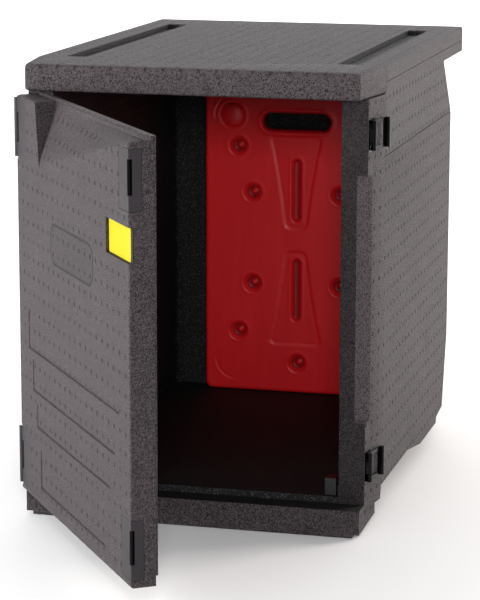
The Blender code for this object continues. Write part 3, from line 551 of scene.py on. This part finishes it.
def plate_moulding():
    """The thermal plate as one slab: the front plane less the relief, edges rounded by a quarter
    circle, and the hand hole and round corners cut where their signed distances change sign."""
    (x0, y0, z0), (x1, y1, z1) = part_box("thermal_plate")
    middle, width, height = (x0 + x1) / 2, x1 - x0, z1 - z0
    step = PLATE_STEP
    x, z = np.meshgrid(np.linspace(-width / 2, width / 2, round(width / step)),
                       np.linspace(0, height, round(height / step)))
    rim = round_box(x, z, (0, height / 2), width, height, PLATE_ROUND)
    x, z = snapped(x, z, rim, step)
    hole = round_box(x, z, *HANDLE, HANDLE_ROUND)
    x, z = snapped(x, z, hole, step)
    rim = round_box(x, z, (0, height / 2), width, height, PLATE_ROUND)
    hole = round_box(x, z, *HANDLE, HANDLE_ROUND)
    inside = np.clip(-rim, 0, PLATE_EDGE)
    turn = PLATE_EDGE - np.sqrt(np.maximum(PLATE_EDGE**2 - (PLATE_EDGE - inside) ** 2, 0))
    kept = (cell_middle(rim) < 0) & (cell_middle(hole) > 0)
    wave = 0.0004 * np.sin(x * 21 + 1) * np.sin(z * 13)
    front = y0 + plate_relief(x, z) + turn + wave
    dents = sum(0.0030 * (1 - ease(np.hypot(x - a, z - b), 0.006, 0.014)) for a, b in DIMPLES)
    back = y1 - turn - dents - 0.0030 * (1 - ease(hole, -0.0005, 0.0040))
    return slab("thermal_moulding", x + middle, z + z0, front, np.maximum(back, front + 0.0008), kept)


def turned(name, profile, centre, sides=64):
    """A profile of (radius, distance forward) pairs turned about a line along -Y through centre;
    the profile starts and ends on the line, so the body is closed by its two poles."""
    radius, forward = np.array(profile).T
    angle = np.arange(sides) * 2 * math.pi / sides
    ring = radius[1:-1]
    x = centre[0] + ring[:, None] * np.cos(angle)
    z = centre[2] + ring[:, None] * np.sin(angle)
    y = centre[1] - np.repeat(forward[1:-1, None], sides, 1)
    points = np.concatenate([
        np.stack([x, y, z], -1).reshape(-1, 3),
        [[centre[0], centre[1] - forward[0], centre[2]], [centre[0], centre[1] - forward[-1], centre[2]]]])
    index = np.arange(ring.size * sides).reshape(ring.size, sides)
    following = np.roll(index, -1, axis=1)
    quads = np.stack([index[:-1], following[:-1], following[1:], index[1:]], -1).reshape(-1, 4)
    first, last = len(points) - 2, len(points) - 1
    faces = [list(face) for face in quads]
    faces += [[first, b, a] for a, b in zip(index[0], following[0])]
    faces += [[last, a, b] for a, b in zip(index[-1], following[-1])]
    mesh = bpy.data.meshes.new(name)
    mesh.from_pydata(points.tolist(), [], faces)
    facing_out(mesh)
    mesh.shade_smooth()
    return mesh


def add_plate(red):
    """The thermal plate and its filler cap, a turned stopper with a domed knob."""
    plate = object_from("thermal_moulding", plate_moulding(), "plate", red)
    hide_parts("thermal_plate")
    (x0, y0, z0), (x1, y1, z1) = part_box("thermal_plate")
    centre = ((x0 + x1) / 2 + CAP[0], y0, z0 + CAP[1])
    profile = [
        (0, -0.012), (0.0085, -0.012), (0.0088, -0.0115), (0.0088, -0.0012), (0.0192, -0.0012),
        (0.0200, -0.0004), (0.0200, 0.0008), (0.0197, 0.0014), (0.0188, 0.0020), (0.0172, 0.0028),
        (0.0145, 0.0040), (0.0110, 0.0051), (0.0075, 0.0058), (0.0040, 0.0062), (0.0018, 0.0063),
        (0, 0.0063),
    ]
    mesh = turned("filler_stopper", profile, centre)
    mesh.set_sharp_from_angle(angle=math.radians(50))
    cap = object_from("filler_stopper", mesh, "cap", red)
    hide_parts("filler_cap")


# ---------------------------------------------------------------- the door

# Along the door from its hinge edge, up from the floor, and in from its front face.
DOOR_WIDTH = 0.530
HINGE_IN = 0.0015
DOOR_LOW, DOOR_HIGH = 0.0423, 0.6445
DOOR_SLAB, DOOR_DEEP = 0.035, 0.040
DOOR_ROUND = 0.003
LIP_SIDE, LIP_LOW, LIP_HIGH = 0.006, 0.0548, 0.648
DOOR_STEP = 0.0045
SCOOP = {"wall": 0.116, "lean": 0.0165, "height": 0.090, "drop": 0.002, "back": 0.005, "depth": 0.032}
SCOOP_FADE = 0.05
SCOOP_BEND = 0.12
# Each L-shaped groove: where its corner is, along and up, its width and its height.
GROOVES = ((0.053, 0.273, 0.430, 0.053), (0.0725, 0.212, 0.392, 0.043),
           (0.092, 0.159, 0.350, 0.033), (0.1075, 0.0696, 0.3105, 0.053))
GROOVE_HALF = 0.00225
GROOVE_DEEP = 0.0025
GROOVE_ROUND = 0.0005
HINGE_LEVELS = (0.096, 0.597)
STRIKE_LEVELS = (0.094, 0.592)
SLOT_LEVELS = (0.098, 0.596)
CARD_LEVEL = 0.506
NOTCH = 0.0055
# Pockets in the slab. From the hinge edge: reach along the door, half height, depth and levels.
HINGE_POCKETS = ((0.0503, 0.0443, 0.0028, HINGE_LEVELS), (0.0028, 0.0443, 0.0223, HINGE_LEVELS))
# From the free edge: the same.
FREE_POCKETS = ((0.0403, 0.0418, 0.0028, STRIKE_LEVELS), (0.0028, 0.0418, 0.0188, STRIKE_LEVELS),
                (NOTCH, 0.0240, NOTCH, SLOT_LEVELS), (0.0983, 0.02405, 0.0068, (CARD_LEVEL,)))
# Low and high along the door, low and high up it, and depth.
POCKETS = [(0, reach, z - half, z + half, deep)
           for reach, half, deep, levels in HINGE_POCKETS for z in levels]
POCKETS += [(DOOR_WIDTH - reach, DOOR_WIDTH, z - half, z + half, deep)
            for reach, half, deep, levels in FREE_POCKETS for z in levels]
# Round reliefs about the hinge axis: half height and radius.
RELIEFS = ((0.0223, 0.012), (0.048, 0.0048))


def on_door(points):
    """Points along, in from the front of and up the door, turned about the hinge to where it stands."""
    turn = np.array(Matrix.Rotation(DOOR_TURN, 3, "Z"))
    return (points - (0, HINGE_IN, 0)) @ turn.T + (HINGE.x, HINGE.y, 0)


def both_sides(places, gap=0.00005):
    """Each place twice, just before it and just after, so that a wall there is upright."""
    return [place + side for place in places for side in (-gap, gap)]


def grid_lines(low, high, step, exact):
    """Even steps from low to high with the exact places put in, and even ones too near them out."""
    exact = np.unique(np.round([value for value in exact if low <= value <= high] + [low, high], 6))
    even = np.arange(low, high, step)
    near = np.abs(even[:, None] - exact).min(axis=1)
    return np.sort(np.concatenate([even[near > 0.3 * step], exact]))


def door_grid():
    """The grid's places along the door and up it, denser at every edge. Beside the scoop's end wall
    the columns lean with it: the shift grows evenly from the scoop's foot to the door's top, and
    fades to nothing 50 mm away."""
    across = [share * DOOR_ROUND for share in (0.1, 0.3, 0.6, 1)]
    along = across + [DOOR_WIDTH - value for value in across] + [0.0035, 0.006, 0.0085, 0.0105, 0.0115, 0.012]
    up = [DOOR_LOW + value for value in across] + [DOOR_HIGH - value for value in across]
    up += [DOOR_HIGH, DOOR_HIGH + 0.0001, DOOR_HIGH - SCOOP["back"]]
    up += list(np.arange(DOOR_HIGH - 0.096, DOOR_HIGH - 0.008, 0.003))
    for x0, x1, z0, z1, _ in POCKETS:
        along += both_sides((x0, x1))
        up += both_sides((z0, z1))
    for half, _ in RELIEFS:
        up += both_sides([z + side * half for z in HINGE_LEVELS for side in (-1, 1)])
    for x, z, width, height in GROOVES:
        offsets = (-0.0026, -0.0018, -0.0010, 0.0010, 0.0018, 0.0026)
        along += [x + value for value in offsets] + both_sides([x + width], 0.0004)
        up += [z + value for value in offsets] + both_sides([z + height], 0.0004)
    along += both_sides((SCOOP["wall"], LIP_SIDE, DOOR_WIDTH - LIP_SIDE))
    up += both_sides([LIP_LOW])
    columns = grid_lines(0, DOOR_WIDTH, DOOR_STEP, along)
    x, z = np.meshgrid(columns, grid_lines(DOOR_LOW, LIP_HIGH, DOOR_STEP, up))
    climb = np.clip((z - DOOR_HIGH + SCOOP["height"]) / SCOOP["height"], 0, 1)
    fade = np.maximum(0, 1 - np.abs(x - SCOOP["wall"]) / SCOOP_FADE)
    beyond = x > SCOOP["wall"]
    return x - SCOOP["lean"] * climb * fade, z, beyond


def scoop_depth(x, z, beyond):
    """Depth of the scoop behind the front face. Its foot climbs evenly to the free corner; from the
    foot the depth grows evenly to the full one just under the door's top, and it starts as a
    parabola, so that the scoop leaves the face without a crease."""
    start = SCOOP["wall"] - SCOOP["lean"] / 2
    share = np.clip((x - start) / (DOOR_WIDTH - start), 0, 1)
    foot = DOOR_HIGH - SCOOP["height"] + (SCOOP["height"] - SCOOP["drop"]) * share
    top = DOOR_HIGH - SCOOP["back"]
    rise = (z - foot) / np.maximum(top - foot, 0.0015)
    parabola = np.maximum(rise + SCOOP_BEND, 0) ** 2 / (4 * SCOOP_BEND)
    soft = np.where(rise < SCOOP_BEND, parabola, rise)
    return np.where(beyond, SCOOP["depth"] * np.clip(soft, 0, 1), 0)


def door_depth(x, z, beyond):
    """Depth of the door's front behind its face: the greatest of the rounded outline, the scoop,
    the L-shaped grooves, the pockets let into it and the round reliefs at the hinges."""
    edge = np.minimum(np.minimum(x, DOOR_WIDTH - x), np.minimum(z - DOOR_LOW, DOOR_HIGH - z))
    inside = np.clip(edge, 0, DOOR_ROUND)
    depth = DOOR_ROUND - np.sqrt(np.maximum(DOOR_ROUND**2 - (DOOR_ROUND - inside) ** 2, 0))
    depth = np.maximum(depth, scoop_depth(x, z, beyond))
    for left, low, width, height in GROOVES:
        middle = (left + (width - GROOVE_HALF) / 2, low)
        flat = round_box(x, z, middle, width + GROOVE_HALF, 2 * GROOVE_HALF, GROOVE_ROUND)
        middle = (left, low + height / 2)
        upright = round_box(x, z, middle, 2 * GROOVE_HALF, height + 2 * GROOVE_HALF, GROOVE_ROUND)
        depth = np.maximum(depth, GROOVE_DEEP * (1 - ease(np.minimum(flat, upright), -0.0010, 0.0004)))
    for x0, x1, z0, z1, deep in POCKETS:
        depth = np.where((x >= x0) & (x <= x1) & (z >= z0) & (z <= z1), np.maximum(depth, deep), depth)
    for half, radius in RELIEFS:
        for level in HINGE_LEVELS:
            round_part = HINGE_IN + np.sqrt(np.maximum(radius**2 - x**2, 0))
            near = (x < radius) & (np.abs(z - level) <= half)
            depth = np.where(near, np.maximum(depth, round_part), depth)
    return np.where(z > DOOR_HIGH, DOOR_SLAB - 0.002, depth)


def door_moulding():
    """The door as one slab in its own axes, with the lip on its back, turned to where it stands."""
    x, z, beyond = door_grid()
    front = door_depth(x, z, beyond)
    lip = (x > LIP_SIDE) & (x < DOOR_WIDTH - LIP_SIDE) & (z > LIP_LOW)
    back = np.where(lip, DOOR_DEEP, DOOR_SLAB)
    along, up = cell_middle(x), cell_middle(z)
    in_lip = (along > LIP_SIDE) & (along < DOOR_WIDTH - LIP_SIDE)
    kept = (up < DOOR_HIGH) | in_lip
    mesh = slab("door_moulding", x, z, front, back, kept, on_door)
    mesh.set_sharp_from_angle(angle=SHARP_ANGLE)
    return mesh


def add_door(foam):
    """The finer door in the CAD door's place."""
    door = object_from("door_moulding", door_moulding(), "door", foam)
    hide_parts("door_panel")


# A thin black sheet that paints the shade in each strike plate's notch: its thickness, its gap from the notch, its
# inset from the front and how far it runs past the bail.
SHADE_SHEET = 0.0006
SHADE_SHEET_GAP = 0.0001
SHADE_SHEET_INSET = 0.0004
SHADE_SHEET_ENDS = 0.0016


def add_notch_shade_sheets(black):
    """A thin black L-shaped sheet in each strike plate's notch, standing in for the shade there: the profile runs
    along the notch.
    """
    wall, floor = DOOR_WIDTH - NOTCH, NOTCH
    near, free = SHADE_SHEET_INSET, DOOR_WIDTH - SHADE_SHEET_INSET
    profile = np.array([
        (wall + SHADE_SHEET_GAP, near), (wall + SHADE_SHEET, near), (wall + SHADE_SHEET, floor - SHADE_SHEET),
        (free, floor - SHADE_SHEET), (free, floor - SHADE_SHEET_GAP), (wall + SHADE_SHEET_GAP, floor - SHADE_SHEET_GAP)])
    faces = [[i, (i + 1) % 6, (i + 1) % 6 + 6, i + 6] for i in range(6)]
    faces += [[0, 5, 2, 1], [5, 4, 3, 2], [6, 7, 8, 11], [11, 8, 9, 10]]
    for place in ("lower", "upper"):
        (_, _, low), (_, _, high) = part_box(f"latch_bail_{place}")
        ends = (low - SHADE_SHEET_ENDS, high + SHADE_SHEET_ENDS)
        points = np.concatenate([np.c_[profile, np.full(len(profile), z)] for z in ends])
        mesh = bpy.data.meshes.new(f"notch_shade_sheet_{place}")
        mesh.from_pydata(on_door(points).tolist(), [], faces)
        facing_out(mesh)
        object_from(f"notch_shade_sheet_{place}", mesh, "door", black)


# ---------------------------------------------------------------- the set

SENSOR = 36
LENS = 149.64
CAMERA_PLACE = (0.988, -3.861, 1.084)
CAMERA_YAW, CAMERA_PITCH, CAMERA_ROLL = [math.radians(angle) for angle in (14.68, 11.52, 0.10)]
FLOOR_HALF = 40.0
FLOOR_DROP = 0.0005
FLOOR_PALE = 0.97
SKY_STRENGTH = 0.52


def add_camera():
    """The camera in front and to the right, looking down a little."""
    data = bpy.data.cameras.new("camera")
    camera = bpy.data.objects.new("camera", data)
    bpy.context.scene.collection.objects.link(camera)
    data.sensor_fit = "VERTICAL"
    data.sensor_height = SENSOR
    data.sensor_width = SENSOR
    data.lens = LENS
    data.clip_start = 0.1
    data.clip_end = 50
    turn = Matrix.Rotation(CAMERA_YAW, 4, "Z") @ Matrix.Rotation(math.pi / 2 - CAMERA_PITCH, 4, "X")
    camera.matrix_world = Matrix.Translation(CAMERA_PLACE) @ turn @ Matrix.Rotation(CAMERA_ROLL, 4, "Z")
    bpy.context.scene.camera = camera


def add_area(name, place, target, size, power, color=(1, 1, 1)):
    """A soft rectangular lamp at a place, aimed at a target."""
    data = bpy.data.lights.new(name, "AREA")
    data.shape = "RECTANGLE"
    data.size, data.size_y = size
    data.energy = power
    data.color = color
    lamp = bpy.data.objects.new(name, data)
    bpy.context.scene.collection.objects.link(lamp)
    lamp.location = place
    aim = Vector(target) - Vector(place)
    lamp.rotation_euler = aim.to_track_quat("-Z", "Y").to_euler()


def add_set():
    """A pale floor, an even white sky, a bank of light at each side, one behind for the floor and a
    small one that reaches into the chamber."""
    mesh = bpy.data.meshes.new("studio_floor")
    corners = [(x * FLOOR_HALF, y * FLOOR_HALF, -FLOOR_DROP) for x, y in ((-1, -1), (1, -1), (1, 1), (-1, 1))]
    mesh.from_pydata(corners, [], [(0, 1, 2, 3)])
    floor = bpy.data.objects.new("studio_floor", mesh)
    bpy.context.scene.collection.objects.link(floor)
    finish = Finish("studio_floor", Roughness=0.7)
    finish.shader.inputs["Base Color"].default_value = (FLOOR_PALE, FLOOR_PALE, FLOOR_PALE, 1)
    mesh.materials.append(finish.material)
    world = bpy.data.worlds.new("studio")
    world.use_nodes = True
    back = world.node_tree.nodes["Background"]
    back.inputs["Color"].default_value = (1, 1, 1, 1)
    back.inputs["Strength"].default_value = SKY_STRENGTH
    bpy.context.scene.world = world
    add_area("left_bank", (-3.3, -1.7, 1.1), (0, -0.4, 0.25), (1.4, 2.0), 182)
    add_area("right_bank", (3.0, 2.3, 1.7), (0.2, 0, 0.35), (1.6, 2.0), 134, (1.0, 0.93, 0.89))
    add_area("floor_wash", (-1.0, 10.0, 4.5), (-1.0, 10.0, 0.0), (14.0, 8.0), 1150)
    add_area("inside_light", (0.75, -3.0, 1.2), (0.06, 0.25, 0.38), (0.4, 0.4), 27)
    bpy.context.scene.view_settings.view_transform = "Standard"


add_camera()
add_set()

shell = bead_foam("shell_foam", chamber_painted_shade, "X", shift=(0.004, 0.009), depth=1.2)
door_foam = bead_foam("door_foam", plaque_groove, "Y", shift=(0.006, 0.003), depth=0.62,
                      turn=DOOR_TURN, centre=(HINGE.x, HINGE.y, 0))
cover_foam = bead_foam("cover_foam", cover_edges, "Z", shift=(0.010, 0.006))
grey = moulded("grey_moulding", (0.0235, 0.0205, 0.0235), roughness=0.50, grain_scale=900,
               grain_depth=0.00006, variation=0.2, shine=0.22)
black = moulded("black_moulding", (0.0012, 0.0012, 0.0014), roughness=0.14, grain_scale=500,
                grain_depth=0.00004, variation=0.2, shine=0.12)
rubber = moulded("rubber", (0.0016, 0.0014, 0.0015), roughness=0.4, grain_scale=600,
                 grain_depth=0.0001, variation=0.15, shine=0.5)
steel = drawn_steel("pin_steel")
red = red_moulding()
card = card_print()

softened("body_shell", 0.0022, shell)
softened("top_cover", 0.0015, cover_foam, 2)
add_door(door_foam)
for place in ("lower", "upper"):
    for node in ("strike_plate", "hinge_insert", "hinge_leaf"):
        softened(f"{node}_{place}", 0.0006, grey, 2)
    for node in ("latch_base", "latch_bail"):
        softened(f"{node}_{place}", 0.0006, black, 2)
    paint(f"hinge_pin_{place}", steel)
    paint(f"latch_pin_{place}", black)
softened("corner_bumper", 0.001, rubber, 2)
softened("card_tray", 0.0003, grey, 2)
softened("label_card", 0.0002, card, 1)
paint("plate_filling", red)
add_plate(red)
add_notch_shade_sheets(black)
